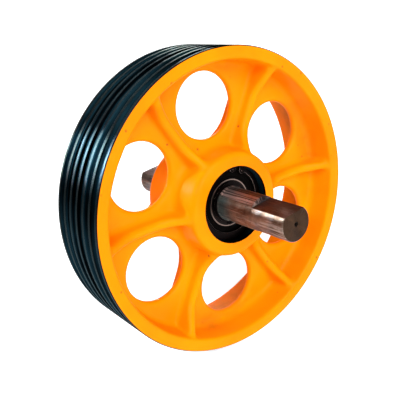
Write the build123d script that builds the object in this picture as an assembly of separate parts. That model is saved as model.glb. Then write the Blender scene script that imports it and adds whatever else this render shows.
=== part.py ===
from build123d import *
import os
from math import degrees, pi, radians, sin, sqrt, tan

# Wire rope sheave on a fixed shaft, in millimetres.
# The origin is on the wheel's axis, midway between the two rim faces.
# The axis lies along Y, the front of the wheel faces -Y, and the shaft's flats face +Z.

# Rim and rope grooves
sheave_diameter = 520.0
rim_width = 130.0
front_rim_wall = 22.0
rear_rim_wall = 17.0
rim_corner = 1.5
rim_lip_chamfer = 3.0
rope_diameter = 13.0
groove_count = 6
groove_pitch = 20.5
groove_depth = 6.0
groove_play = 0.8  # the groove's width over the rope's diameter
groove_sides = 8  # a groove's round is cut as a polygon of this many sides

# Web, lightening holes and ribs
web_thickness = 16.0
web_shift = 8.0  # the web stands this far forward of the rim's middle
casting_draft = 4.0  # degrees
rim_root_fillet = 11.0
hole_count = 6
hole_land = 18.0  # from a hole to the hub or the front rim wall
hole_edge_round = 7.0
hole_wall_flat = 1.0  # least straight wall left between a hole's two rounded edges
hole_edge_flat_count = 3
hole_flare = 4.0  # how much wider a hole's cutter is beyond the web
hole_angle = 24.0  # degrees from +X towards +Z to the first hole
rib_thickness = 13.0
rib_foot_fillet = 7.0
rib_end_fillet = 12.0  # in the corners between a rib and the hub or rim
rib_edge_chamfer = 3.0
rib_step = 4.0  # the crest meets the rim this far below the rim's face
front_rib_dip = 30.0
rear_rib_dip = 35.0
rib_rise_at_rim = 48.0
rib_rise_at_hub = 34.0
rib_crest_radius = 55.0
rib_overlap = 7.0  # how far a rib reaches into rim and hub
casting_flat_count = 3  # flats that stand for each rounding of the casting

# Hub
hub_diameter = 180.0
hub_proud = 3.0
hub_edge_round = 9.0
hub_root_fillet = 14.0
bore_shoulder = 7.0
mouth_chamfer = 1.5

# Bearings
bearing_diameter = 130.0
bearing_width = 31.0
bearing_inset = 16.0  # from the rim's face to the bearing's face
race_corner = 1.0
roller_count = 12
roller_diameter = 19.0
roller_length = 18.0
race_flange = 3.0
roller_play = 0.1
cage_thickness = 8.0
cage_side = 2.3
pocket_play = 0.2
seal_thickness = 2.6
seal_inset = 0.8
seal_seat = 2.0
seal_lip_gap = 0.3

# Circlips
bore_clip_thickness = 4.0
bore_clip_groove_depth = 2.0
bore_clip_eye = 12.0
bore_clip_widest = 13.5
bore_clip_narrowest = 7.5
bore_clip_gap_angle = 62.0
shaft_clip_thickness = 2.5
shaft_clip_groove_depth = 1.5
shaft_clip_eye = 8.5
shaft_clip_widest = 8.0
shaft_clip_narrowest = 4.0
shaft_clip_gap_angle = -90.0
clip_gap_width = 9.0
clip_play = 0.15
clip_hole_diameter = 3.5

# Shaft
seat_diameter = 60.0
shaft_diameter = 58.0
flat_end_diameter = 57.0  # the ends are turned down, so that supports slide over them
front_reach = 140.0  # from the rim's front face to the shaft's front end
rear_reach = 126.0
seat_run_out = 4.0
seat_chamfer = 0.8
shaft_chamfer = 1.5
flat_length = 72.0
flat_depth = 9.0
centre_diameter = 7.0
centre_depth = 9.0
centre_pilot = 3.0
centre_angle = 60.0  # degrees across the cone
spacer_wall = 6.0
spacer_play = 0.1

# Worked out from the sizes above
sheave_radius = sheave_diameter / 2
front_wall = sheave_radius - front_rim_wall
rear_wall = sheave_radius - rear_rim_wall
rim_face = rim_width / 2
hub_radius = hub_diameter / 2
hub_face = rim_face + hub_proud
bore_radius = bearing_diameter / 2
seat_radius = seat_diameter / 2
shaft_radius = shaft_diameter / 2
flat_end_radius = flat_end_diameter / 2
web_front = -web_shift - web_thickness / 2
web_rear = -web_shift + web_thickness / 2
groove_radius = (rope_diameter + groove_play) / 2
bearing_face = rim_face - bearing_inset
bearing_back = bearing_face - bearing_width
bearing_middle = (bearing_face + bearing_back) / 2
pitch_radius = (bore_radius + seat_radius) / 2
inner_track = pitch_radius - roller_diameter / 2 - roller_play
outer_track = pitch_radius + roller_diameter / 2 + roller_play
inner_flange = inner_track + race_flange
outer_flange = outer_track - race_flange
track_half = roller_length / 2 + pocket_play
hole_diameter = front_wall - hub_radius - 2 * hole_land
hole_circle_radius = (front_wall + hub_radius) / 2
hole_pitch_angle = 360 / hole_count
draft_slope = tan(radians(casting_draft))
overshoot = 1.0  # cutters reach this far past the metal


def eased(before, corner, after):
    """The points that stand for a corner: itself, a chamfer's two, or an arc's, a flat apart."""
    here = Vector(*corner[:2])
    if len(corner) == 2:
        return [here]
    radius = corner[2]
    flats = corner[3] if len(corner) == 4 else 1
    back = (Vector(*before[:2]) - here).normalized()
    ahead = (Vector(*after[:2]) - here).normalized()
    half = radians(back.get_angle(ahead)) / 2
    turn = pi - 2 * half
    centre = here + (back + ahead).normalized() * (radius / sin(half))
    start = here + back * (radius / tan(half)) - centre
    end = here + ahead * (radius / tan(half)) - centre
    points = []
    for i in range(flats + 1):
        to_start = sin((1 - i / flats) * turn) / sin(turn)
        to_end = sin(i / flats * turn) / sin(turn)
        points.append(centre + start * to_start + end * to_end)
    return points


def outline(corners):
    """A face in the X-Y plane. Each corner is (x, y), (x, y, chamfer) or (x, y, radius, flats)."""
    points = []
    for i, corner in enumerate(corners):
        points += eased(corners[i - 1], corner, corners[(i + 1) % len(corners)])
    return make_face(Polyline(*points, close=True))


def turned(corners):
    """A solid of revolution about the wheel's axis, with its outline's x as the radius."""
    return revolve(outline(corners), Axis.Y)


def ring(inner, outer, y_from, y_to):
    """A plain ring about the wheel's axis."""
    return turned([(inner, y_from), (outer, y_from), (outer, y_to), (inner, y_to)])


def around(piece, angle):
    """Turn a piece modelled along +X by an angle from +X towards +Z."""
    return Rot(0, -angle, 0) * piece


def facing(piece, side):
    """A piece modelled on the front side (-1), or its mirror image on the rear (+1)."""
    return piece if side < 0 else mirror(piece, about=Plane.XZ)


# ---------------------------------------------------------------- sheave casting

def wheel_section():
    """Half section of hub, web and grooved rim, with the circlip grooves cut in."""
    front_slope = (rim_face + web_front) * draft_slope
    rear_slope = (rim_face - web_rear) * draft_slope
    proud_slope = hub_proud * draft_slope
    land = bore_radius - bore_shoulder
    section = outline([
        (bore_radius, -hub_face, mouth_chamfer),
        (hub_radius, -hub_face, hub_edge_round, casting_flat_count),
        (hub_radius + proud_slope + front_slope, web_front, hub_root_fillet, casting_flat_count),
        (front_wall - front_slope, web_front, rim_root_fillet, casting_flat_count),
        (front_wall, -rim_face, rim_lip_chamfer),
        (sheave_radius, -rim_face, rim_corner),
        (sheave_radius, rim_face, rim_corner),
        (rear_wall, rim_face, rim_lip_chamfer),
        (rear_wall - rear_slope, web_rear, rim_root_fillet, casting_flat_count),
        (hub_radius + proud_slope + rear_slope, web_rear, hub_root_fillet, casting_flat_count),
        (hub_radius, hub_face, hub_edge_round, casting_flat_count),
        (bore_radius, hub_face, mouth_chamfer),
        (bore_radius, bearing_back),
        (land, bearing_back),
        (land, -bearing_back),
        (bore_radius, -bearing_back),
    ])
    hollow = RegularPolygon(groove_radius, groove_sides, major_radius=False)
    groove = Rot(0, 0, 180 / groove_sides) * hollow  # a side of it lies along the groove's bottom
    groove_centre = sheave_radius - groove_depth + groove_radius
    for i in range(groove_count):
        y = (i - (groove_count - 1) / 2) * groove_pitch
        section -= Pos(groove_centre, y) * groove
    clip_slot = bore_clip_thickness + clip_play
    for side in (-1, 1):
        y = side * (bearing_face + clip_slot / 2)
        section -= Pos(bore_radius, y) * Rectangle(2 * bore_clip_groove_depth, clip_slot)
    return section


def rib(side, rim_inside, dip):
    """The rib along +X on the front (-1) or rear (+1) of the web, with its dipped crest."""
    web_middle = -web_shift
    web_face = web_middle + side * web_thickness / 2
    top = side * (rim_face - rib_step)
    low = side * (rim_face - dip)
    inner_end = hub_radius - rib_overlap
    outer_end = rim_inside + rib_overlap
    side_view = outline([
        (outer_end, web_middle), (outer_end, top), (rim_inside, top),
        (rim_inside - rib_rise_at_rim, low, rib_crest_radius, casting_flat_count),
        (hub_radius + rib_rise_at_hub, low, rib_crest_radius, casting_flat_count),
        (hub_radius, top), (inner_end, top), (inner_end, web_middle),
    ])
    tip = rib_thickness / 2
    root = tip + abs(top - web_face) * draft_slope
    head = tip + rib_end_fillet + overshoot
    foot = root + rib_foot_fillet + overshoot
    across = outline([
        (tip, top), (root, web_face, rib_foot_fillet, casting_flat_count), (foot, web_face),
        (foot, web_middle), (-foot, web_middle),
        (-foot, web_face), (-root, web_face, rib_foot_fillet, casting_flat_count), (-tip, top),
    ])
    plan = outline([
        (inner_end, head), (hub_radius, head), (hub_radius, tip, rib_end_fillet, casting_flat_count),
        (rim_inside, tip, rib_end_fillet, casting_flat_count), (rim_inside, head), (outer_end, head),
        (outer_end, -head), (rim_inside, -head), (rim_inside, -tip, rib_end_fillet, casting_flat_count),
        (hub_radius, -tip, rib_end_fillet, casting_flat_count), (hub_radius, -head), (inner_end, -head),
    ])
    flank = tip - rib_edge_chamfer
    slab = extrude(side_view, flank, both=True)
    slope = extrude(Pos(0, 0, flank) * side_view, sqrt(2) * (foot - flank), dir=(0, -side, 1))
    ridge = slab + slope + mirror(slope, about=Plane.XY)
    drafted = extrude(Plane.YZ * Rot(0, 0, -90) * across, sheave_radius)
    flared = extrude(Plane.XZ * plan, rim_width, both=True)
    return ridge & (drafted + flared)


def hole_cutter():
    """The metal taken away for a lightening hole along +X, with both of its edges rounded."""
    radius = hole_diameter / 2
    edge = min(hole_edge_round, (web_thickness - hole_wall_flat) / 2)
    front = (radius, web_front, edge, hole_edge_flat_count)
    rear = (radius, web_rear, edge, hole_edge_flat_count)
    clear = radius + edge + hole_flare
    wall = eased((clear, web_front), front, rear) + eased(front, rear, (clear, web_rear))
    section = [(0, -rim_face), (clear, -rim_face), *wall, (clear, rim_face), (0, rim_face)]
    cutter = revolve(make_face(Polyline(*section, close=True)), Axis.Y)
    return Pos(hole_circle_radius, 0, 0) * cutter


def sheave_wheel():
    """The one-piece casting: grooved rim, web with lightening holes, ribs and hub."""
    wheel = revolve(wheel_section(), Axis.Y)
    cutter = hole_cutter()
    ribs = rib(-1, front_wall, front_rib_dip), rib(1, rear_wall, rear_rib_dip)
    for i in range(hole_count):
        wheel -= around(cutter, hole_angle + i * hole_pitch_angle)
    for i in range(hole_count):
        for one_rib in ribs:
            wheel += around(one_rib, hole_angle + (i + 0.5) * hole_pitch_angle)
    return wheel


# ---------------------------------------------------------------- bearings

def outer_race():
    """Outer ring with a roller track between two flanges and a seat for the seal in front."""
    mid = -bearing_middle
    back = -bearing_back
    face = -bearing_face
    seal_back = face + seal_inset + seal_thickness
    return turned([
        (bore_radius, face, race_corner), (bore_radius, back, race_corner),
        (outer_flange, back),
        (outer_flange, mid + track_half), (outer_track, mid + track_half),
        (outer_track, mid - track_half), (outer_flange, mid - track_half),
        (outer_flange, seal_back), (outer_flange + seal_seat, seal_back),
        (outer_flange + seal_seat, face),
    ])


def inner_race():
    """Inner ring with a roller track between two flanges."""
    mid = -bearing_middle
    back = -bearing_back
    face = -bearing_face
    return turned([
        (seat_radius, face, race_corner), (inner_flange, face),
        (inner_flange, mid - track_half), (inner_track, mid - track_half),
        (inner_track, mid + track_half), (inner_flange, mid + track_half),
        (inner_flange, back), (seat_radius, back, race_corner),
    ])


def roller_at(angle, grow=0.0):
    """One roller, or the space of one roller and its play in the cage."""
    roller = Cylinder(roller_diameter / 2 + grow, roller_length + 2 * grow)
    return around(Pos(pitch_radius, -bearing_middle, 0) * Rot(90, 0, 0) * roller, angle)


def rollers():
    """The bearing's rollers, as separate solids."""
    step = 360 / roller_count
    return Compound(children=[roller_at(i * step) for i in range(roller_count)])


def roller_cage():
    """The ring that spaces the rollers, with a pocket for each."""
    half = roller_length / 2 + pocket_play + cage_side
    inner = pitch_radius - cage_thickness / 2
    cage = ring(inner, inner + cage_thickness, -bearing_middle - half, -bearing_middle + half)
    for i in range(roller_count):
        cage -= roller_at(i * 360 / roller_count, pocket_play)
    return cage


def seal():
    """Rubber-faced seal in the outer race, with its lip just clear of the inner race."""
    front = -bearing_face + seal_inset
    return ring(inner_flange + seal_lip_gap, outer_flange + seal_seat, front, front + seal_thickness)


# ---------------------------------------------------------------- circlips

def clip_gap(radius, gap_angle):
    """The wedge of air between a circlip's ends."""
    air = Box(radius, 4 * bore_clip_thickness, clip_gap_width)
    return around(Pos(radius, 0, 0) * air, gap_angle)


def clip_eyes(circle_radius, eye_diameter, thickness, gap_angle):
    """The two round eyes at a circlip's ends, each with its plier hole."""
    spread = degrees((clip_gap_width + eye_diameter) / 2 / circle_radius)
    eye = Cylinder(eye_diameter / 2, thickness) - Cylinder(clip_hole_diameter / 2, thickness)
    placed = Pos(circle_radius, 0, 0) * Rot(90, 0, 0) * eye
    return [around(placed, gap_angle + side * spread) for side in (-1, 1)]


def eccentric_ring(outer, outer_shift, inner, inner_shift, thickness, gap_angle):
    """A flat ring that is widest opposite its gap."""
    blank = Pos(outer_shift, 0, 0) * Rot(90, 0, 0) * Cylinder(outer, thickness)
    blank -= Pos(inner_shift, 0, 0) * Rot(90, 0, 0) * Cylinder(inner, thickness)
    return around(blank, gap_angle)


def bore_circlip():
    """Retaining ring in the hub bore, in front of the outer race."""
    outer = bore_radius + bore_clip_groove_depth - clip_play
    shift = (bore_clip_widest - bore_clip_narrowest) / 2
    inner = bore_radius - (bore_clip_widest + bore_clip_narrowest) / 2
    clip = eccentric_ring(outer, 0, inner, shift, bore_clip_thickness, bore_clip_gap_angle)
    clip -= clip_gap(inner + shift, bore_clip_gap_angle)
    eyes_on = bore_radius - clip_play - bore_clip_eye / 2
    for eye in clip_eyes(eyes_on, bore_clip_eye, bore_clip_thickness, bore_clip_gap_angle):
        clip += eye
    return Pos(0, -bearing_face - bore_clip_thickness / 2, 0) * clip


def shaft_circlip():
    """Retaining ring on the shaft, in front of the inner race."""
    inner = seat_radius - shaft_clip_groove_depth + clip_play
    shift = (shaft_clip_widest - shaft_clip_narrowest) / 2
    outer = inner + (shaft_clip_widest + shaft_clip_narrowest) / 2
    clip = eccentric_ring(outer, -shift, inner, 0, shaft_clip_thickness, shaft_clip_gap_angle)
    clip -= clip_gap(inner + shaft_clip_narrowest, shaft_clip_gap_angle)
    eyes_on = seat_radius + clip_play + shaft_clip_eye / 2
    for eye in clip_eyes(eyes_on, shaft_clip_eye, shaft_clip_thickness, shaft_clip_gap_angle):
        clip += eye
    return Pos(0, -bearing_face - shaft_clip_thickness / 2, 0) * clip


# ---------------------------------------------------------------- shaft

def shaft_flat(end, side):
    """The metal milled away above one end's flat."""
    cut = Box(shaft_diameter, flat_length, 2 * flat_depth)
    return Pos(0, end - side * flat_length / 2, flat_end_radius) * cut


def shaft_centre(end, side):
    """Conical centre hole with its pilot, in one end of the shaft."""
    mouth = centre_diameter / 2
    pilot = centre_pilot / 2
    cone_end = end - side * (mouth - pilot) / tan(radians(centre_angle / 2))
    return turned([(0, end), (mouth, end), (pilot, cone_end),
                   (pilot, end - side * centre_depth), (0, end - side * centre_depth)])


def shaft():
    """The fixed shaft: bearing seats, circlip grooves, and a flat and a centre at each end."""
    front_end = -rim_face - front_reach
    rear_end = rim_face + rear_reach
    seat_end = bearing_face + shaft_clip_thickness + seat_run_out
    blank = turned([
        (0, front_end), (flat_end_radius, front_end, shaft_chamfer),
        (flat_end_radius, front_end + flat_length), (shaft_radius, front_end + flat_length),
        (shaft_radius, -seat_end), (seat_radius, -seat_end, seat_chamfer),
        (seat_radius, seat_end, seat_chamfer), (shaft_radius, seat_end),
        (shaft_radius, rear_end - flat_length), (flat_end_radius, rear_end - flat_length),
        (flat_end_radius, rear_end, shaft_chamfer), (0, rear_end),
    ])
    slot = shaft_clip_thickness + clip_play
    groove = ring(seat_radius - shaft_clip_groove_depth, seat_radius + overshoot,
                  -bearing_face - slot, -bearing_face)
    for end, side in ((front_end, -1), (rear_end, 1)):
        blank -= facing(groove, side)
        blank -= shaft_flat(end, side)
        blank -= shaft_centre(end, side)
    return blank


def race_spacer():
    """Sleeve on the shaft that holds the two inner races apart."""
    bore = seat_radius + spacer_play
    return ring(bore, bore + spacer_wall, -bearing_back, bearing_back)


# ---------------------------------------------------------------- the whole sheave

def all_pieces():
    """Every piece by its name, in the order in which the sheave is put together."""
    pieces = {
        "sheave_wheel": sheave_wheel(),
        "shaft": shaft(),
        "race_spacer": race_spacer(),
    }
    per_side = {
        "outer_race": outer_race(),
        "inner_race": inner_race(),
        "rollers": rollers(),
        "roller_cage": roller_cage(),
        "seal": seal(),
        "bore_circlip": bore_circlip(),
        "shaft_circlip": shaft_circlip(),
    }
    for name, piece in per_side.items():
        pieces["front_" + name] = facing(piece, -1)
        pieces["rear_" + name] = facing(piece, 1)
    return pieces


os.makedirs("parts", exist_ok=True)
for node, solid in all_pieces().items():
    export_step(solid, f"parts/{node}.step")
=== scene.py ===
import bpy
import math
from mathutils import Matrix, Vector


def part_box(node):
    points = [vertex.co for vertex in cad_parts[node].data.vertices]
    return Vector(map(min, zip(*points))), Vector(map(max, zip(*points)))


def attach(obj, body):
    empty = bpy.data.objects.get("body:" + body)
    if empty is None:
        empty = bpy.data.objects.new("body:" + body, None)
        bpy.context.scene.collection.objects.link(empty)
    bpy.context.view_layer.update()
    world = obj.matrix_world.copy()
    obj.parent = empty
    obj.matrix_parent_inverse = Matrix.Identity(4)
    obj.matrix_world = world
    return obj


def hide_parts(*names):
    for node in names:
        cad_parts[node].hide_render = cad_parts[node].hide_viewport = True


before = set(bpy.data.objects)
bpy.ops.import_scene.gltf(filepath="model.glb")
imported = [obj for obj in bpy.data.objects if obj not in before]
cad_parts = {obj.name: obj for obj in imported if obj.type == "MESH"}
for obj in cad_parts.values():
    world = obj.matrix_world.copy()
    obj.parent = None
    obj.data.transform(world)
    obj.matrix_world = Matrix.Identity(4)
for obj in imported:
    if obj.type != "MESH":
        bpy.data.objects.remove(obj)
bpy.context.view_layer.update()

# ------------------------------------------------------------------ the casting
# The wheel is one iron casting: rim, web, six ribs on each side and hub.
# It is cast with metal to spare on the rim and in the hub, and enamelled amber all over.
# Then a lathe cuts the six rope grooves in the tread and the bearing seats in the bore.

CAST_GRAIN = 0.0025     # size of the cells that the rough casting is shaped from
CAST_SOFTENING = 14     # how often its corners are relaxed
CAST_SHARE = 0.30       # share of its faces that is kept where it is flat enough
SPARE = 0.010           # metal left on the rough rim for the lathe
OVER = 0.004            # how far a tool passes beyond the metal
SAME_POINT = 0.00001    # points nearer to each other than this are one
HUB_PROUD = 0.003       # how far the hub's faces stand beyond the rim's
RIM_CORNER = 0.0015
GROOVES = 6
GROOVE_PITCH = 0.0205
GROOVE_DEPTH = 0.006
GROOVE_ROUND = 0.0069   # radius of a groove's bottom
GROOVE_STEPS = 12       # faces across a groove
LAND_EDGE = 0.0007      # bevel from a groove to the land beside it
BORE = 0.065            # radius of the bearing seats
BORE_CORE = 0.020       # radius of the core that the bore tool leaves, hidden in the shaft
BORE_STOP = 0.058       # radius of the shoulder between the seats
BORE_MOUTH = 0.0015     # bevel at each end of the bore
BEARING_FACE = 0.049    # from the wheel's middle to a bearing's outer face
BEARING_BACK = 0.018    # and to its inner face
CLIP_SLOT = 0.00415     # width of a circlip's slot in the bore
CLIP_SLOT_DEPTH = 0.002
ROUND_STEPS = 256       # faces round the rim
BORE_STEPS = 128        # faces round the bore
CORE_STEPS = 96         # faces round the metal that fills the rough bore
CAST_SHADE = 38         # edges sharper than this many degrees stay sharp
RECESS_EDGE = 0.062     # from the wheel's middle, where the recess's painted light, grime and painted shade start
INNER_WALL = 0.195      # radius from which grime and painted shade gather under the rim

hub_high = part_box("sheave_wheel")[1]
rim_radius = hub_high.x
hub_half = hub_high.y
rim_half = hub_half - HUB_PROUD


def start_section(radius, y):
    """Begin a half section with one point in the plane through the axis."""
    bpy.ops.object.select_all(action="DESELECT")
    bpy.ops.mesh.primitive_plane_add(size=0.001, location=(radius, y, 0))
    bpy.ops.object.mode_set(mode="EDIT")
    bpy.ops.mesh.select_all(action="SELECT")
    bpy.ops.mesh.merge(type="CENTER")


def line(radially, along):
    """Draw the section on by a straight edge."""
    bpy.ops.mesh.extrude_region_move(TRANSFORM_OT_translate={"value": (radially, along, 0)})


def arc(centre, angle, steps):
    """Draw the section on by an arc about a point, through an angle in degrees."""
    bpy.ops.mesh.spin(steps=steps, angle=math.radians(angle), center=(*centre, 0), axis=(0, 0, 1))


def notch(depth, width):
    """Draw a square notch, and come back to the line that it starts from."""
    line(depth, 0)
    line(0, width)
    line(-depth, 0)


def join_points():
    """Select the whole mesh and join its points where they lie together."""
    bpy.ops.mesh.select_all(action="SELECT")
    bpy.ops.mesh.remove_doubles(threshold=SAME_POINT)


def turn_section(name, steps):
    """Close the drawn section and turn it about the wheel's axis into a solid."""
    join_points()
    bpy.ops.mesh.spin(steps=steps, angle=2 * math.pi, center=(0, 0, 0), axis=(0, 1, 0))
    join_points()
    bpy.ops.mesh.normals_make_consistent(inside=False)
    bpy.ops.object.mode_set(mode="OBJECT")
    bpy.ops.object.transform_apply(location=True, rotation=True, scale=True)
    solid = bpy.context.object
    solid.name = name
    return solid


def only(piece):
    """Select one object alone, and make it the active one."""
    bpy.ops.object.select_all(action="DESELECT")
    bpy.context.view_layer.objects.active = piece
    piece.select_set(True)


def modify(piece, kind, **settings):
    """Put one modifier on a piece and apply it."""
    only(piece)
    made = piece.modifiers.new(kind.lower(), kind)
    for name, value in settings.items():
        setattr(made, name, value)
    bpy.ops.object.modifier_apply(modifier=made.name)


def cut(piece, tool):
    """Take a tool's shape away from a piece, and put the tool away."""
    modify(piece, "BOOLEAN", operation="DIFFERENCE", solver="MANIFOLD", object=tool)
    bpy.data.objects.remove(tool)


def cad_copy(name):
    """A closed copy of a CAD node's mesh as a piece of its own."""
    piece = bpy.data.objects.new(name + "_finished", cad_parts[name].data.copy())
    bpy.context.scene.collection.objects.link(piece)
    only(piece)
    bpy.ops.object.mode_set(mode="EDIT")
    join_points()
    bpy.ops.mesh.customdata_custom_splitnormals_clear()
    bpy.ops.object.mode_set(mode="OBJECT")
    return piece


def shade(piece, angle):
    """Shade a piece smooth, but for edges sharper than an angle in degrees."""
    only(piece)
    bpy.ops.object.shade_smooth_by_angle(angle=math.radians(angle))


def paint_and_bare(piece, paint, bare, slot):
    """Give a piece two materials, and all its faces one of them."""
    piece.data.materials.clear()
    piece.data.materials.append(paint)
    piece.data.materials.append(bare)
    for face in piece.data.polygons:
        face.material_index = slot


def spare_metal():
    """The closed ring and the core that fill the grooves and the bore of the rough casting."""
    start_section(rim_radius - GROOVE_DEPTH - SPARE, -rim_half)
    line(GROOVE_DEPTH + 2 * SPARE, 0)
    line(0, 2 * rim_half)
    line(-GROOVE_DEPTH - 2 * SPARE, 0)
    line(0, -2 * rim_half)
    ring = turn_section("spare_rim", ROUND_STEPS)
    bpy.ops.object.select_all(action="DESELECT")
    bpy.ops.mesh.primitive_cylinder_add(vertices=CORE_STEPS, radius=BORE + CLIP_SLOT_DEPTH + OVER,
                                        depth=2 * hub_half, rotation=(math.pi / 2, 0, 0))
    core = bpy.context.object
    bpy.ops.object.transform_apply(location=True, rotation=True, scale=True)
    return ring, core


def rough_casting():
    """The casting as it leaves the mould: the wheel's shape with spare metal and soft corners."""
    rough = cad_copy("sheave_wheel")
    ring, core = spare_metal()
    only(rough)
    ring.select_set(True)
    core.select_set(True)
    bpy.ops.object.join()
    rough.data.remesh_voxel_size = CAST_GRAIN
    rough.data.remesh_voxel_adaptivity = 0.0
    bpy.ops.object.voxel_remesh()
    modify(rough, "SMOOTH", factor=0.5, iterations=CAST_SOFTENING)
    modify(rough, "DECIMATE", ratio=CAST_SHARE)
    return rough


def tread_tool():
    """The ring of metal that the lathe takes off the tread: lands, grooves and both corners."""
    reach = SPARE + OVER
    start_section(rim_radius + reach, -rim_half - OVER)
    line(-reach - RIM_CORNER - OVER, 0)
    line(RIM_CORNER + OVER, RIM_CORNER + OVER)
    rise = GROOVE_ROUND - GROOVE_DEPTH
    entry = math.sqrt(GROOVE_ROUND ** 2 - (rise + LAND_EDGE) ** 2)
    sweep = 2 * math.degrees(math.acos((rise + LAND_EDGE) / GROOVE_ROUND))
    y = RIM_CORNER - rim_half
    for groove in range(GROOVES):
        middle = (groove - (GROOVES - 1) / 2) * GROOVE_PITCH
        line(0, middle - entry - LAND_EDGE - y)
        line(-LAND_EDGE, LAND_EDGE)
        arc((rim_radius + rise, middle), sweep, GROOVE_STEPS)
        line(LAND_EDGE, LAND_EDGE)
        y = middle + entry + LAND_EDGE
    line(0, rim_half - RIM_CORNER - y)
    line(-RIM_CORNER - OVER, RIM_CORNER + OVER)
    line(reach + RIM_CORNER + OVER, 0)
    line(0, -2 * (rim_half + OVER))
    return turn_section("tread_tool", ROUND_STEPS)


def bore_tool():
    """The metal that the lathe takes out of the hub: mouths, circlip slots, seats, shoulder."""
    mouth = BORE_MOUTH + OVER
    start_section(BORE_CORE, -hub_half - OVER)
    line(BORE + mouth - BORE_CORE, 0)
    line(-mouth, mouth)
    line(0, hub_half - BORE_MOUTH - BEARING_FACE - CLIP_SLOT)
    notch(CLIP_SLOT_DEPTH, CLIP_SLOT)
    line(0, BEARING_FACE - BEARING_BACK)
    notch(BORE_STOP - BORE, 2 * BEARING_BACK)
    line(0, BEARING_FACE - BEARING_BACK)
    notch(CLIP_SLOT_DEPTH, CLIP_SLOT)
    line(0, hub_half - BORE_MOUTH - BEARING_FACE - CLIP_SLOT)
    line(mouth, mouth)
    line(BORE_CORE - BORE - mouth, 0)
    line(0, -2 * (hub_half + OVER))
    return turn_section("bore_tool", BORE_STEPS)


def feed(tree, socket, value):
    """Set an input to a number or colour, or join it to another node's output."""
    if isinstance(value, bpy.types.NodeSocket):
        tree.links.new(value, socket)
    else:
        socket.default_value = value


def set_inputs(tree, made, **inputs):
    """Feed some of a node's inputs by their names."""
    for name, value in inputs.items():
        feed(tree, made.inputs[name.replace("_", " ")], value)


def node(tree, kind, **inputs):
    """Add a node and feed its inputs."""
    made = tree.nodes.new("ShaderNode" + kind)
    set_inputs(tree, made, **inputs)
    return made


def math_node(tree, operation, *values):
    """A Math node's result."""
    made = node(tree, "Math")
    made.operation = operation
    for socket, value in zip(made.inputs, values):
        feed(tree, socket, value)
    return made.outputs[0]


def mix_colour(tree, share, a, b):
    """Two colours mixed by a share of the second."""
    made = node(tree, "Mix")
    made.data_type = "RGBA"
    for index, value in ((0, share), (6, a), (7, b)):
        feed(tree, made.inputs[index], value)
    return made.outputs[2]


def mix_value(tree, share, a, b):
    """Two numbers mixed by a share of the second."""
    made = node(tree, "Mix")
    for index, value in ((0, share), (2, a), (3, b)):
        feed(tree, made.inputs[index], value)
    return made.outputs[0]


def lay_on(tree, under, mask, share, colour):
    """A colour laid on another by a share of a mask."""
    return mix_colour(tree, math_node(tree, "MULTIPLY", mask, share), under, colour)


def beyond(tree, value, limit, steepness):
    """A mask that rises from 0 to 1 where a value passes a limit, either of them a number."""
    over = math_node(tree, "SUBTRACT", value, limit)
    return node(tree, "Clamp", Value=math_node(tree, "MULTIPLY", over, steepness)).outputs[0]


def ramp(tree, value, *stops):
    """A grey ramp of (place, brightness) stops."""
    made = node(tree, "ValToRGB", Fac=value)
    points = made.color_ramp.elements
    while len(points) < len(stops):
        points.new(0.5)
    for point, (place, grey) in zip(points, stops):
        point.position = place
        point.color = (grey, grey, grey, 1)
    return made.outputs[0]


def rgb(red, green, blue):
    """A colour with its opacity."""
    return (red, green, blue, 1)


def new_group(name, inputs, outputs):
    """An empty shader node group with (name, type, value) inputs and (name, type) outputs."""
    group = bpy.data.node_groups.new(name, "ShaderNodeTree")
    for title, kind, value in inputs:
        socket = group.interface.new_socket(title, in_out="INPUT", socket_type="NodeSocket" + kind)
        if value is not None:
            socket.default_value = value
    for title, kind in outputs:
        group.interface.new_socket(title, in_out="OUTPUT", socket_type="NodeSocket" + kind)
    return group, group.nodes.new("NodeGroupInput"), group.nodes.new("NodeGroupOutput")


def use_group(tree, group, **inputs):
    """Place a node group in a material, with its own values."""
    made = node(tree, "Group")
    made.node_tree = group
    set_inputs(tree, made, **inputs)
    return made


def new_material(name):
    """A material with its shader and a place on the object to work from."""
    made = bpy.data.materials.new(name)
    made.use_nodes = True
    tree = made.node_tree
    shader = next(n for n in tree.nodes if n.type == "BSDF_PRINCIPLED")
    place = tree.nodes.new("ShaderNodeTexCoord").outputs["Object"]
    return made, tree, shader, place


def bump(tree, shader, height, strength, distance):
    """Roughen a shader's surface by a height."""
    made = node(tree, "Bump", Height=height, Strength=strength, Distance=distance)
    set_inputs(tree, shader, Normal=made.outputs[0])


def speckle_group():
    """Small spots of dirt or chips: a mask of scattered specks of one size."""
    group, given, result = new_group(
        "scattered_specks",
        [("Place", "Vector", None), ("Scale", "Float", 90.0), ("Amount", "Float", 0.2)],
        [("Mask", "Float")])
    place = given.outputs["Place"]
    cells = node(group, "TexVoronoi", Vector=place, Scale=given.outputs["Scale"])
    patch = node(group, "TexNoise", Vector=place, Scale=9.0, Detail=3.0)
    size = math_node(group, "MULTIPLY", given.outputs["Amount"], patch.outputs[0])
    set_inputs(group, result, Mask=beyond(group, size, cells.outputs["Distance"], steepness=14.0))
    return group


def line_noise(tree, along, detail):
    """Noise that changes along one direction only."""
    made = node(tree, "TexNoise")
    made.noise_dimensions = "1D"
    set_inputs(tree, made, W=along, Scale=1.0, Detail=detail)
    return made.outputs[0]


def about_axis(tree, place):
    """A place's distance from the wheel's axis, and where it is along the axis."""
    x, y, z = node(tree, "SeparateXYZ", Vector=place).outputs
    across, up = (math_node(tree, "MULTIPLY", part, part) for part in (x, z))
    return math_node(tree, "SQRT", math_node(tree, "ADD", across, up)), y


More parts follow.
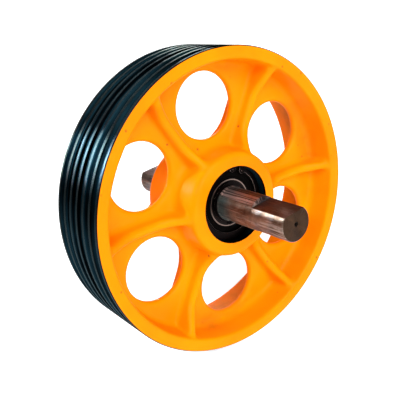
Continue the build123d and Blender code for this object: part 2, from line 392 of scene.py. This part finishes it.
def turning_group():
    """The fine rings that a lathe tool leaves round the wheel's axis: a height and a tint."""
    group, given, result = new_group(
        "lathe_rings",
        [("Place", "Vector", None), ("Lines per metre", "Float", 1500.0), ("Waver", "Float", 0.3)],
        [("Height", "Float"), ("Tint", "Float")])
    place = given.outputs["Place"]
    radius, y = about_axis(group, place)
    along = math_node(group, "ADD", y, radius)
    lines = math_node(group, "MULTIPLY", along, given.outputs["Lines per metre"])
    fine = line_noise(group, lines, 4.0)
    broad = line_noise(group, math_node(group, "MULTIPLY", lines, 0.13), 2.0)
    blotch = node(group, "TexNoise", Vector=place, Scale=14.0, Detail=3.0)
    tint = mix_value(group, given.outputs["Waver"], broad, blotch.outputs[0])
    set_inputs(group, result, Height=fine, Tint=tint)
    return group


specks = speckle_group()
lathe_rings = turning_group()


def enamel_material():
    """Thick glossy amber enamel that follows the casting's grain; painted light in the recess,
    grime and painted shade under the rim.
    """
    made, tree, shader, place = new_material("amber_enamel")
    radius, y = about_axis(tree, place)
    clouds = node(tree, "TexNoise", Vector=place, Scale=11.0, Detail=4.0, Roughness=0.55)
    fresh = rgb(0.95, 0.246, 0.0006)
    deep = rgb(0.91, 0.205, 0.0005)
    recess_painted_light = rgb(0.97, 0.340, 0.0006)
    paint = mix_colour(tree, ramp(tree, clouds.outputs[0], (0.35, 0.0), (0.68, 1.0)), fresh, deep)
    # Painted light: within the recess the paint is laid toward a lighter amber.
    depth = beyond(tree, RECESS_EDGE, math_node(tree, "ABSOLUTE", y), steepness=28.0)
    paint = lay_on(tree, paint, depth, 0.18, recess_painted_light)
    # Grime and painted shade: brown smears darken the recess along the rim's inner wall.
    wall = beyond(tree, radius, INNER_WALL, steepness=30.0)
    smear = node(tree, "TexNoise", Vector=place, Scale=8.0, Detail=5.0, Roughness=0.65)
    smeared = ramp(tree, smear.outputs[0], (0.47, 0.0), (0.68, 0.75))
    grime_and_shade = math_node(tree, "MULTIPLY", math_node(tree, "MULTIPLY", smeared, wall), depth)
    paint = mix_colour(tree, grime_and_shade, paint, rgb(0.36, 0.120, 0.006))
    dirt = use_group(tree, specks, Place=place, Scale=27.0, Amount=0.17)
    paint = lay_on(tree, paint, dirt.outputs[0], 0.75, rgb(0.10, 0.035, 0.010))
    roughness = mix_value(tree, clouds.outputs[0], 0.26, 0.42)
    set_inputs(tree, shader, Base_Color=paint, Roughness=roughness, Specular_IOR_Level=0.01,
               Coat_Weight=0.04, Coat_Roughness=0.20)
    skin = node(tree, "TexNoise", Vector=place, Scale=60.0, Detail=3.0, Roughness=0.5)
    sand = node(tree, "TexNoise", Vector=place, Scale=420.0, Detail=2.0)
    height = mix_value(tree, 0.18, skin.outputs[0], sand.outputs[0])
    bump(tree, shader, height, strength=0.16, distance=0.002)
    return made


def ringed(tree, shader, strength):
    """Draw a shader's highlights out along the axis, as rings cut by a lathe do."""
    round_axis = node(tree, "Tangent")
    round_axis.direction_type = "RADIAL"
    round_axis.axis = "Y"
    set_inputs(tree, shader, Anisotropic=strength, Anisotropic_Rotation=0.25,
               Tangent=round_axis.outputs[0])


def turned_iron_material():
    """Bare iron under a film of oil, closely ringed by the lathe; its near-black is painted shade,
    its teal and its lighter lands painted reflection.
    """
    made, tree, shader, place = new_material("turned_iron_with_painted_shade_and_reflection")
    radius = about_axis(tree, place)[0]
    rings = use_group(tree, lathe_rings, Place=place, Lines_per_metre=800.0, Waver=0.35)
    # Painted shade and painted reflection: the near-black stands for the unlit tread, the teal for
    # its reflection.
    tread_painted_dark = rgb(0.0002, 0.0006, 0.001)
    tread_painted_teal = rgb(0.006, 0.022, 0.032)
    painted_shine = rgb(0.050, 0.046, 0.042)
    shine = ramp(tree, rings.outputs["Tint"], (0.42, 0.0), (0.60, 1.0))
    iron = mix_colour(tree, shine, tread_painted_dark, tread_painted_teal)
    # Painted reflection: the lands are laid toward a lighter brown-grey.
    land = math_node(tree, "GREATER_THAN", radius, rim_radius - LAND_EDGE / 2)
    iron = lay_on(tree, iron, land, 0.25, painted_shine)
    roughness = mix_value(tree, rings.outputs["Tint"], 0.33, 0.42)
    set_inputs(tree, shader, Base_Color=iron, Metallic=1.0, Roughness=roughness,
               Specular_Tint=rgb(0.60, 0.74, 0.78))
    ringed(tree, shader, 1.0)
    bump(tree, shader, rings.outputs["Height"], strength=0.45, distance=0.001)
    return made


def dress(piece, body, slot, *replaced):
    """Give a piece its body, in place of CAD nodes. The slot is not used."""
    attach(piece, body)
    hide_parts(*replaced)


enamel = enamel_material()
turned_iron = turned_iron_material()
casting = rough_casting()
paint_and_bare(casting, enamel, turned_iron, 0)
for tool in (tread_tool(), bore_tool()):
    paint_and_bare(tool, enamel, turned_iron, 1)
    cut(casting, tool)
shade(casting, CAST_SHADE)
dress(casting, "wheel_body", "wheel_paint", "sheave_wheel")

# ------------------------------------------------------------------ the shaft
# The shaft is a fixed bar of turned steel with a brown film of heat and oil, rubbed bright at
# its edges, and the edges' light is partly a painted highlight. Painted shade darkens its top,
# ends, shoulders, flats and centre holes, and a painted teal sheen lies near the hub. Bearing
# seats and circlip grooves are turned on it. Each end has a milled flat, which a keeper plate
# holds, and a centre hole from the lathe.

SEAT_END = 0.0555       # from the wheel's middle to the end of the bearing seats
BAR_RADIUS = 0.029
END_RADIUS = 0.0285     # the ends are turned down a little
END_CHAMFER = 0.0015
CLIP_GROOVE = 0.00265   # width of a circlip's groove in the bar
CLIP_GROOVE_DEPTH = 0.0015
FLAT_LENGTH = 0.072
FLAT_HEIGHT = 0.0195    # from the axis up to a flat
MILL_CORNER = 0.0012    # radius of the cutter's corner
MILL_STEPS = 4          # faces across the corner that the cutter leaves
CENTRE_MOUTH = 0.0035   # radius of a centre hole where it opens
CENTRE_PILOT = 0.0015   # and at its bottom
CENTRE_DEPTH = 0.009
BAR_STEPS = 96          # faces round the bar
CENTRE_STEPS = 32
RUBBED_EDGE = 0.0005    # width asked for an eased edge; the bar's shortest edges hold it far below
EASED_ABOVE = 30        # edges sharper than this many degrees are eased
BAR_SHADE = 25          # edges sharper than this many degrees stay sharp
TOUCH = 0.0001          # points nearer to a plane than this lie in it
SKIN = 0.0002           # how far the painted teal sheen reaches along the bar from the seats
HUB_SHEEN_REACH = 0.028          # how far the heat's blue reaches along the bar from the seats
TOP_BAND = 0.020        # height from which the top of the bar shows scuffs

bar_low, bar_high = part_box("shaft")
seat_radius = bar_high.x


def turned_bar():
    """The shaft as it leaves the lathe: ends, bars, seats and circlip grooves."""
    start_section(0, bar_low.y)
    line(END_RADIUS - END_CHAMFER, 0)
    line(END_CHAMFER, END_CHAMFER)
    line(0, FLAT_LENGTH - END_CHAMFER)
    line(BAR_RADIUS - END_RADIUS, 0)
    line(0, -SEAT_END - bar_low.y - FLAT_LENGTH)
    line(seat_radius - BAR_RADIUS, 0)
    line(0, SEAT_END - BEARING_FACE - CLIP_GROOVE)
    notch(-CLIP_GROOVE_DEPTH, CLIP_GROOVE)
    line(0, 2 * BEARING_FACE)
    notch(-CLIP_GROOVE_DEPTH, CLIP_GROOVE)
    line(0, SEAT_END - BEARING_FACE - CLIP_GROOVE)
    line(BAR_RADIUS - seat_radius, 0)
    line(0, bar_high.y - SEAT_END - FLAT_LENGTH)
    line(END_RADIUS - BAR_RADIUS, 0)
    line(0, FLAT_LENGTH - END_CHAMFER)
    line(-END_CHAMFER, END_CHAMFER)
    line(END_CHAMFER - END_RADIUS, 0)
    return turn_section("shaft_finished", BAR_STEPS)


def flat_tool(end, side):
    """The metal that is milled off one end, with the cutter's rounded corner at its shoulder."""
    middle = end - side * (FLAT_LENGTH - OVER) / 2
    bpy.ops.object.select_all(action="DESELECT")
    bpy.ops.mesh.primitive_cube_add(size=1, location=(0, middle, FLAT_HEIGHT + BAR_RADIUS),
                                    scale=(4 * BAR_RADIUS, FLAT_LENGTH + OVER, 2 * BAR_RADIUS))
    bpy.ops.object.transform_apply(location=True, rotation=True, scale=True)
    tool = bpy.context.object
    bpy.ops.object.mode_set(mode="EDIT")
    bpy.ops.mesh.select_all(action="DESELECT")
    bpy.ops.object.mode_set(mode="OBJECT")
    shoulder = end - side * FLAT_LENGTH
    for edge in tool.data.edges:
        ends = [tool.data.vertices[index].co for index in edge.vertices]
        edge.select = all(abs(point.y - shoulder) < TOUCH and point.z < FLAT_HEIGHT + TOUCH
                          for point in ends)
    bpy.ops.object.mode_set(mode="EDIT")
    bpy.ops.mesh.bevel(offset=MILL_CORNER, segments=MILL_STEPS, affect="EDGES")
    bpy.ops.object.mode_set(mode="OBJECT")
    return tool


def centre_tool(end, side):
    """The centre drill's cone of 60 degrees and its pilot."""
    cone = (CENTRE_MOUTH - CENTRE_PILOT) * math.sqrt(3)
    start_section(0, end + side * OVER)
    line(CENTRE_MOUTH, 0)
    line(0, -side * OVER)
    line(CENTRE_PILOT - CENTRE_MOUTH, -side * cone)
    line(0, side * (cone - CENTRE_DEPTH))
    line(-CENTRE_PILOT, 0)
    return turn_section("centre_tool", CENTRE_STEPS)


def ends_mask(tree, y):
    """Where the shaft's end faces are."""
    front = math_node(tree, "LESS_THAN", y, bar_low.y + SKIN)
    rear = math_node(tree, "GREATER_THAN", y, bar_high.y - SKIN)
    return math_node(tree, "MAXIMUM", front, rear)


def flats_masks(tree, y, z):
    """Where the milled flats are, and where the shoulders behind them are."""
    milled = math_node(tree, "MULTIPLY", math_node(tree, "LESS_THAN", z, FLAT_HEIGHT + SKIN),
                       math_node(tree, "GREATER_THAN", z, FLAT_HEIGHT - SKIN))
    from_shoulder = math_node(tree, "ABSOLUTE", math_node(
        tree, "SUBTRACT", math_node(tree, "ABSOLUTE", y), bar_high.y - FLAT_LENGTH))
    return milled, math_node(tree, "LESS_THAN", from_shoulder, SKIN)


def stretched_noise(tree, place, stretch, **inputs):
    """Noise that is drawn out along some directions."""
    stretched = node(tree, "Mapping", Vector=place, Scale=stretch)
    return node(tree, "TexNoise", Vector=stretched.outputs[0], **inputs).outputs[0]


def film_material():
    """Steel under a brown film, with blue patches of heat, streaks along the bar, a painted teal
    sheen near the hub, and painted shade on its top, ends, shoulders, flats and centre holes.
    """
    made, tree, shader, place = new_material("brown_filmed_steel")
    radius, y = about_axis(tree, place)
    z = node(tree, "SeparateXYZ", Vector=place).outputs[2]
    blotched = node(tree, "TexNoise", Vector=place, Scale=46.0, Detail=5.0, Roughness=0.62)
    blotches = blotched.outputs[0]
    heat = node(tree, "TexNoise", Vector=place, Scale=24.0, Detail=2.0).outputs[0]
    streaks = stretched_noise(tree, place, (1.0, 0.07, 1.0), Scale=260.0, Detail=4.0, Roughness=0.6)
    scuffs = stretched_noise(tree, place, (1.0, 0.02, 0.3), Scale=330.0, Detail=2.0)
    hub_painted_sheen = beyond(tree, SEAT_END + HUB_SHEEN_REACH, math_node(tree, "ABSOLUTE", y), steepness=50.0)
    on_top = beyond(tree, z, TOP_BAND, steepness=300.0)
    scuffed = math_node(tree, "MULTIPLY", ramp(tree, scuffs, (0.47, 0.0), (0.56, 1.0)), on_top)
    ends = ends_mask(tree, y)
    milled, shoulder = flats_masks(tree, y, z)
    centre = math_node(tree, "LESS_THAN", radius, CENTRE_MOUTH + 2 * SKIN)
    rust = use_group(tree, specks, Place=place, Scale=240.0, Amount=0.36).outputs[0]
    along = math_node(tree, "MULTIPLY", ramp(tree, streaks, (0.50, 0.0), (0.66, 0.6)),
                      math_node(tree, "SUBTRACT", 1.0, ends))
    film = mix_colour(tree, ramp(tree, blotches, (0.36, 0.0), (0.64, 1.0)),
                      rgb(0.200, 0.125, 0.090), rgb(0.075, 0.038, 0.022))
    film = mix_colour(tree, ramp(tree, heat, (0.52, 0.0), (0.68, 0.6)),
                      film, rgb(0.120, 0.130, 0.160))
    # Painted sheen: the bar is tinted teal near the hub.
    film = lay_on(tree, film, hub_painted_sheen, 0.55, rgb(0.070, 0.130, 0.130))
    film = mix_colour(tree, along, film, rgb(0.46, 0.36, 0.31))
    # Painted shade darkens the top, the end faces, the shoulders, the milled flats and the centre
    # holes; the scuffs and rust are the bar's own marks.
    for mask, share, colour in ((on_top, 0.7, rgb(0.030, 0.016, 0.012)),
                                (scuffed, 0.8, rgb(0.42, 0.27, 0.24)),
                                (ends, 0.9, rgb(0.036, 0.017, 0.007)),
                                (shoulder, 0.9, rgb(0.012, 0.008, 0.006)),
                                (milled, 0.75, rgb(0.075, 0.024, 0.008)),
                                (centre, 0.95, rgb(0.003, 0.002, 0.001)),
                                (rust, 0.8, rgb(0.014, 0.006, 0.004))):
        film = lay_on(tree, film, mask, share, colour)
    set_inputs(tree, shader, Base_Color=film, Metallic=ramp(tree, streaks, (0.3, 0.75), (0.7, 1.0)),
               Roughness=ramp(tree, blotches, (0.3, 0.34), (0.7, 0.48)),
               Specular_IOR_Level=0.25, Specular_Tint=rgb(0.70, 0.70, 0.74))
    ringed(tree, shader, 0.9)
    rings = use_group(tree, lathe_rings, Place=place, Lines_per_metre=2400.0, Waver=0.4)
    height = mix_value(tree, 0.45, rings.outputs["Height"], streaks)
    bump(tree, shader, height, strength=0.20, distance=0.001)
    return made


def turned_metal(name, dark, light, lines, rough, waver=0.5, strength=0.12, distance=0.0006):
    """Turned, ground or rubbed metal with fine rings, between two colours and two roughnesses."""
    made, tree, shader, place = new_material(name)
    rings = use_group(tree, lathe_rings, Place=place, Lines_per_metre=lines, Waver=waver)
    tint = rings.outputs["Tint"]
    set_inputs(tree, shader, Base_Color=mix_colour(tree, tint, dark, light), Metallic=1.0,
               Roughness=mix_value(tree, tint, *rough))
    bump(tree, shader, rings.outputs["Height"], strength, distance)
    return made


def rub_edges(piece, width):
    """Ease all sharp edges by a small flat that shows the piece's second material."""
    modify(piece, "BEVEL", width=width, segments=1, limit_method="ANGLE",
           angle_limit=math.radians(EASED_ABOVE), material=1)


# The eased edges are lighter: partly wear, partly a painted highlight.
rubbed_and_highlit = turned_metal("rubbed_edge_steel_with_painted_highlight", rgb(0.28, 0.24, 0.22), rgb(0.66, 0.62, 0.60),
                      lines=1500.0, rough=(0.30, 0.42))
bar = turned_bar()
for end, side in ((bar_low.y, -1), (bar_high.y, 1)):
    cut(bar, flat_tool(end, side))
film = film_material()
paint_and_bare(bar, film, rubbed_and_highlit, 0)
rub_edges(bar, RUBBED_EDGE)
for end, side in ((bar_low.y, -1), (bar_high.y, 1)):
    drill = centre_tool(end, side)
    paint_and_bare(drill, film, rubbed_and_highlit, 0)
    cut(bar, drill)
shade(bar, BAR_SHADE)
dress(bar, "shaft_body", "shaft_steel", "shaft")

# ------------------------------------------------------------------ the spacer
# The spacer is a plain sleeve turned from steel. It slides on the shaft between the two inner
# races, keeps them apart, and is held only by them.


def finish_nodes(names, material):
    """Give a material to CAD nodes that are shown as they are."""
    for name in names:
        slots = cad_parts[name].data.materials
        slots.clear()
        slots.append(material)


sleeve_steel = turned_metal("turned_spacer_steel", rgb(0.26, 0.26, 0.27), rgb(0.45, 0.45, 0.46),
                            lines=1800.0, rough=(0.34, 0.46))
finish_nodes(["race_spacer"], sleeve_steel)

# ------------------------------------------------------------------ the bearings
# In each end of the hub is a bearing with two ground steel races, twelve hardened rollers and a
# machined brass cage, and a black rubber seal closes its outer face.

SEAL_LIP = 0.0412       # radius of the seal's lip, just clear of the inner race
SEAL_EDGE = 0.0004      # bevel round a seal's face
SEAL_STEPS = 96         # faces round a seal
LIP_TRACK = 0.0393      # radius from which a painted highlight brightens the inner race
CHANNEL_START = 0.0445  # inner radius of the channel in a seal's face
CHANNEL_WIDTH = 0.0065
CHANNEL_DEPTH = 0.0008
SMALL_SHADE = 30        # edges sharper than this many degrees stay sharp


def both(name):
    """The front node and the rear node of one name."""
    return ["front" + name, "rear" + name]


def rimmed_race_material():
    """The inner race: darkened by painted shade, with a painted highlight on its rim."""
    made, tree, shader, place = new_material("race_steel_with_painted_shade_and_highlight")
    rings = use_group(tree, lathe_rings, Place=place, Lines_per_metre=3000.0, Waver=0.7)
    tint = rings.outputs["Tint"]
    rim = math_node(tree, "GREATER_THAN", about_axis(tree, place)[0], LIP_TRACK)
    # Painted shade on the race, and a painted highlight on its rim.
    race_painted_dark = mix_colour(tree, tint, rgb(0.004, 0.003, 0.003), rgb(0.014, 0.010, 0.009))
    painted_shine = mix_colour(tree, tint, rgb(0.08, 0.055, 0.045), rgb(0.32, 0.23, 0.20))
    set_inputs(tree, shader, Base_Color=mix_colour(tree, rim, race_painted_dark, painted_shine), Metallic=1.0,
               Roughness=mix_value(tree, tint, 0.28, 0.42))
    return made


# Painted shade: the ground outer races are made near black.
race_steel_painted_dark = turned_metal("ground_race_steel_with_painted_shade", rgb(0.004, 0.003, 0.003), rgb(0.012, 0.009, 0.008),
                          lines=5000.0, rough=(0.30, 0.42))
roller_steel = turned_metal("lapped_roller_steel", rgb(0.55, 0.55, 0.56), rgb(0.66, 0.66, 0.67),
                            lines=9000.0, rough=(0.12, 0.24))
cage_brass = turned_metal("machined_cage_brass", rgb(0.42, 0.27, 0.09), rgb(0.75, 0.55, 0.24),
                          lines=2200.0, rough=(0.42, 0.26), waver=0.6, strength=0.15,
                          distance=0.0008)
finish_nodes(both("_outer_race"), race_steel_painted_dark)
finish_nodes(both("_inner_race"), rimmed_race_material())
finish_nodes(both("_rollers"), roller_steel)
finish_nodes(both("_roller_cage"), cage_brass)


def seal_material():
    """Moulded black rubber with a film of grease."""
    made, tree, shader, place = new_material("black_seal_rubber")
    smear = node(tree, "TexNoise", Vector=place, Scale=60.0, Detail=4.0).outputs[0]
    black = mix_colour(tree, smear, rgb(0.0006, 0.0004, 0.0004), rgb(0.0022, 0.0012, 0.0010))
    set_inputs(tree, shader, Base_Color=black, Specular_IOR_Level=0.015,
               Roughness=ramp(tree, smear, (0.35, 0.28), (0.65, 0.62)))
    bump(tree, shader, smear, strength=0.2, distance=0.001)
    return made


def moulded_seal(side):
    """One seal: a disc with rounded edges and a moulded channel round its face."""
    low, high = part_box(("front" if side < 0 else "rear") + "_seal")
    face = low.y if side < 0 else high.y
    thickness = high.y - low.y
    start_section(SEAL_LIP, face - side * thickness)
    line(0, side * (thickness - SEAL_EDGE))
    line(SEAL_EDGE, side * SEAL_EDGE)
    line(CHANNEL_START - SEAL_LIP - SEAL_EDGE, 0)
    line(CHANNEL_DEPTH, -side * CHANNEL_DEPTH)
    line(CHANNEL_WIDTH, 0)
    line(CHANNEL_DEPTH, side * CHANNEL_DEPTH)
    line(high.x - CHANNEL_START - CHANNEL_WIDTH - 2 * CHANNEL_DEPTH - SEAL_EDGE, 0)
    line(SEAL_EDGE, -side * SEAL_EDGE)
    line(0, side * (SEAL_EDGE - thickness))
    line(SEAL_LIP - high.x, 0)
    return turn_section("seal_finished", SEAL_STEPS)


rubber = seal_material()
for name, side in (("front_seal", -1), ("rear_seal", 1)):
    lip = moulded_seal(side)
    lip.name = name + "_finished"
    lip.data.materials.append(rubber)
    shade(lip, SMALL_SHADE)
    dress(lip, "wheel_body", "seal_rubber", name)

# ------------------------------------------------------------------ the circlips
# A large circlip sprung into the hub bore and a small one on the shaft hold each bearing.
# Both are stamped from spring steel, and each end has an eye for the pliers.

CLIP_EDGE = 0.0004      # width asked for an eased edge; only the bore circlips reach about this

# The circlips' black finish is deepened by painted shade.
blackened_and_shaded = turned_metal("black_spring_steel_with_painted_shade", rgb(0.003, 0.002, 0.002),
                         rgb(0.008, 0.005, 0.005), lines=900.0, rough=(0.34, 0.46))
# The eased edges are lighter: partly wear, partly a painted highlight.
clip_edge_wear_and_highlight = turned_metal("rubbed_spring_steel_with_painted_highlight", rgb(0.22, 0.16, 0.14), rgb(0.66, 0.52, 0.47),
                          lines=900.0, rough=(0.30, 0.42))
for side in ("front", "rear"):
    for kind, body in (("_bore_circlip", "wheel_body"), ("_shaft_circlip", "shaft_body")):
        clip = cad_copy(side + kind)
        paint_and_bare(clip, blackened_and_shaded, clip_edge_wear_and_highlight, 0)
        rub_edges(clip, CLIP_EDGE)
        shade(clip, SMALL_SHADE)
        dress(clip, body, "spring_steel", side + kind)

# ------------------------------------------------------------------ the studio
# The sheave stands on its rim on a plain pale floor, before a white background. Daylight and two
# large soft lamps light it. A long strip lamp and two small lamps with grids draw the lines of
# light on its dark tread.

FLOOR_SIZE = 60
FLOOR_GLOW = 0.72       # light that the floor gives off, which keeps it pale


def studio_floor():
    """A wide pale floor under the rim."""
    bpy.ops.object.select_all(action="DESELECT")
    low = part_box("sheave_wheel")[0]
    bpy.ops.mesh.primitive_plane_add(size=FLOOR_SIZE, location=(0, 0, low.z))
    ground = bpy.context.object
    ground.name = "floor"
    made, tree, shader, place = new_material("pale_floor")
    grain = node(tree, "TexNoise", Vector=place, Scale=3.0)
    pale = mix_colour(tree, grain.outputs[0], rgb(0.86, 0.86, 0.86), rgb(0.90, 0.90, 0.90))
    set_inputs(tree, shader, Base_Color=pale, Roughness=0.9, Specular_IOR_Level=0.1,
               Emission_Color=rgb(1, 1, 1), Emission_Strength=FLOOR_GLOW)
    ground.data.materials.append(made)


def softbox(name, place, aim, width, height, power, colour, spread=180):
    """A rectangular lamp at a place, turned to its aim, with a grid that limits its spread."""
    bpy.ops.object.select_all(action="DESELECT")
    bpy.ops.object.light_add(type="AREA", location=place)
    lamp = bpy.context.object
    lamp.name = name
    lamp.data.shape = "RECTANGLE"
    lamp.data.size = width
    lamp.data.size_y = height
    lamp.data.energy = power
    lamp.data.color = colour
    lamp.data.spread = math.radians(spread)
    lamp.rotation_euler = (Vector(aim) - Vector(place)).to_track_quat("-Z", "Y").to_euler()


def world_light(strength):
    """Faint even light from all round, though the camera sees the world white."""
    world = bpy.data.worlds.new("studio")
    world.use_nodes = True
    tree = world.node_tree
    seen = node(tree, "LightPath").outputs["Is Camera Ray"]
    set_inputs(tree, tree.nodes["Background"], Color=rgb(1, 1, 1),
               Strength=mix_value(tree, seen, strength, 1.0))
    bpy.context.scene.world = world


def camera_at(place, azimuth, elevation, roll, lens):
    """A camera that looks back along a direction, rolled about its own axis."""
    a, e, r = (math.radians(angle) for angle in (azimuth, elevation, roll))
    back = Vector((math.sin(a) * math.cos(e), -math.cos(a) * math.cos(e), math.sin(e)))
    level = Vector((math.cos(a), math.sin(a), 0))
    upright = back.cross(level)
    right = level * math.cos(r) - upright * math.sin(r)
    up = level * math.sin(r) + upright * math.cos(r)
    camera = bpy.data.objects.new("camera", bpy.data.cameras.new("camera"))
    bpy.context.scene.collection.objects.link(camera)
    camera.data.sensor_width = 36
    camera.data.lens = lens
    camera.data.clip_end = 100
    turned = Matrix((right, up, back)).transposed().to_4x4()
    camera.matrix_world = Matrix.Translation(place) @ turned
    bpy.context.scene.camera = camera


def daylight(place, spread, strength):
    """A broad far lamp that shines from a place towards the wheel, alike all over the floor."""
    bpy.ops.object.select_all(action="DESELECT")
    bpy.ops.object.light_add(type="SUN", location=place)
    lamp = bpy.context.object
    lamp.name = "daylight"
    lamp.data.angle = math.radians(spread)
    lamp.data.energy = strength
    lamp.rotation_euler = Vector(place).to_track_quat("Z", "Y").to_euler()


studio_floor()
world_light(0.08)
daylight((-0.55, -2.0, 2.0), spread=50, strength=2.15)
softbox("front", (0.0, -2.9, 1.3), (0, 0, 0), 2.0, 2.2, 50, (1.0, 0.98, 0.95))
softbox("strip", (-1.9, -0.3, 1.55), (-0.2, -0.3, 0.16), 1.8, 0.16, 34, (0.66, 0.88, 1.0))
softbox("tread", (-1.45, 2.0, 1.17), (-0.27, 0, 0.22), 0.16, 0.16, 1.2, (0.76, 0.93, 1.0), 8)
softbox("top", (1.8, 2.6, 0.8), (-0.02, 0, 0.26), 0.5, 0.5, 0.7, (1.0, 0.94, 0.88), 20)
softbox("fill", (0.9, 2.8, 0.9), (0, 0, 0), 1.6, 1.6, 26, (1.0, 0.95, 0.90))
camera_at((-0.5418, -0.8059, 0.4240), azimuth=-32.64, elevation=23.64, roll=13.17, lens=54.13)
bpy.context.scene.view_settings.view_transform = "Standard"
